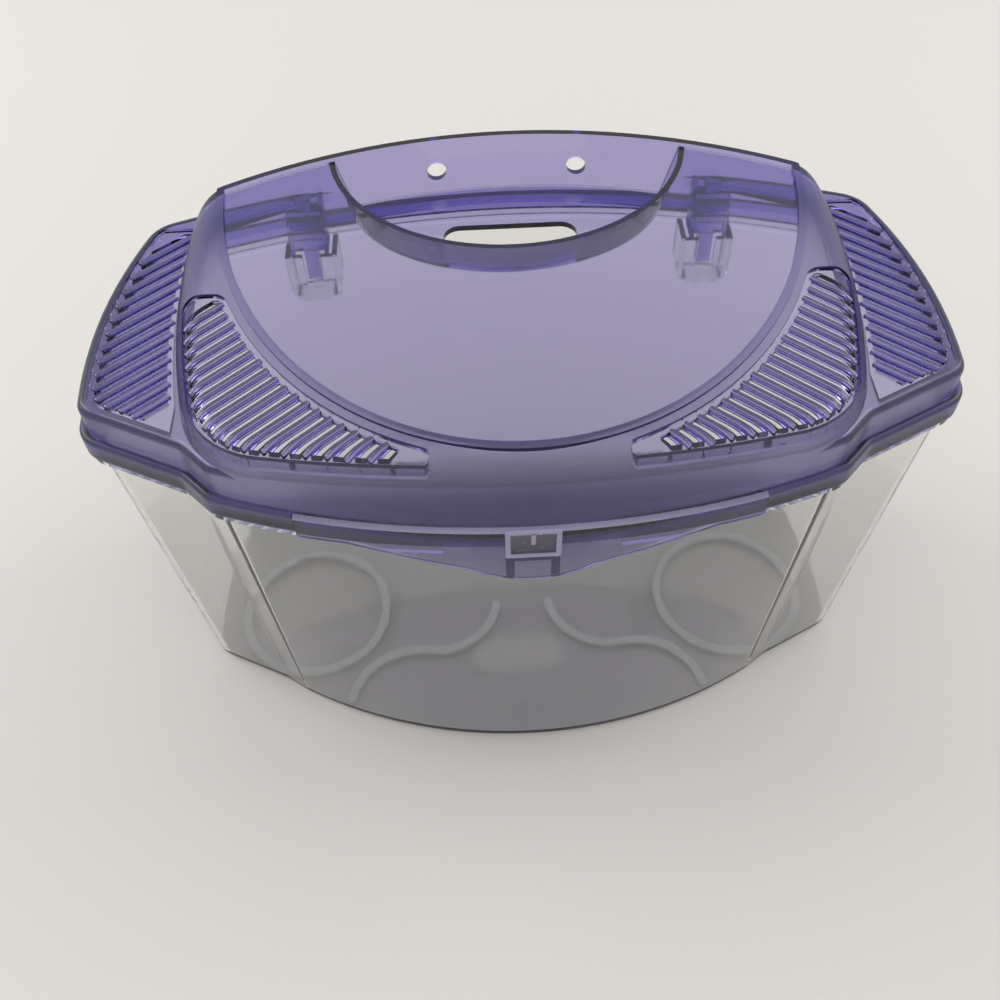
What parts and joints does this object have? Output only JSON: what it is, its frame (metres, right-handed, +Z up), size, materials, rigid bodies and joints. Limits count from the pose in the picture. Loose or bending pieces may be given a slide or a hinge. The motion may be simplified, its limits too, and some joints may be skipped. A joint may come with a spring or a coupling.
{
  "type": "fish tank",
  "caption": "Small bow-fronted clear fish tank with a hinged, vented translucent purple lid, a feeding pocket in the lid's top and a springy latch tab at the front.",
  "frame": {"origin": "middle of the footprint, on the table under the tank", "axes": "+X to the right seen from the latch side, +Y from the latch to the rear wall, +Z up"},
  "size_m": [0.236, 0.1356, 0.1408],
  "materials": {
    "clear_plastic": "glossy colourless clear polystyrene",
    "purple_plastic": "glossy translucent purple polystyrene"
  },
  "bodies": {
    "tank": {"tank_shell": "clear_plastic", "front_catch": "clear_plastic", "rear_socket_left": "clear_plastic", "rear_socket_right": "clear_plastic", "floor_rings": "clear_plastic", "floor_waves": "clear_plastic"},
    "lid": {"lid_shell": "purple_plastic", "top_window": "purple_plastic", "feed_pocket": "purple_plastic", "crescent_grille_left": "purple_plastic", "crescent_grille_right": "purple_plastic", "wing_grille_left": "purple_plastic", "wing_grille_right": "purple_plastic", "hinge_tongue_left": "purple_plastic", "hinge_tongue_right": "purple_plastic"},
    "latch": {"latch_tab": "purple_plastic", "latch_hook": "purple_plastic"}
  },
  "joints": [
    {"name": "lid_hinge", "type": "hinge", "parent": "tank", "child": "lid", "pos_m": [0, 0.0678, 0.111], "axis": [-1, 0, 0], "range_deg": [0, 75]},
    {"name": "latch_flex", "type": "hinge", "parent": "lid", "child": "latch", "pos_m": [0, -0.0668, 0.118], "axis": [-1, 0, 0], "range_deg": [0, 10], "stiffness_Nm_per_rad": 0.6}
  ]
}
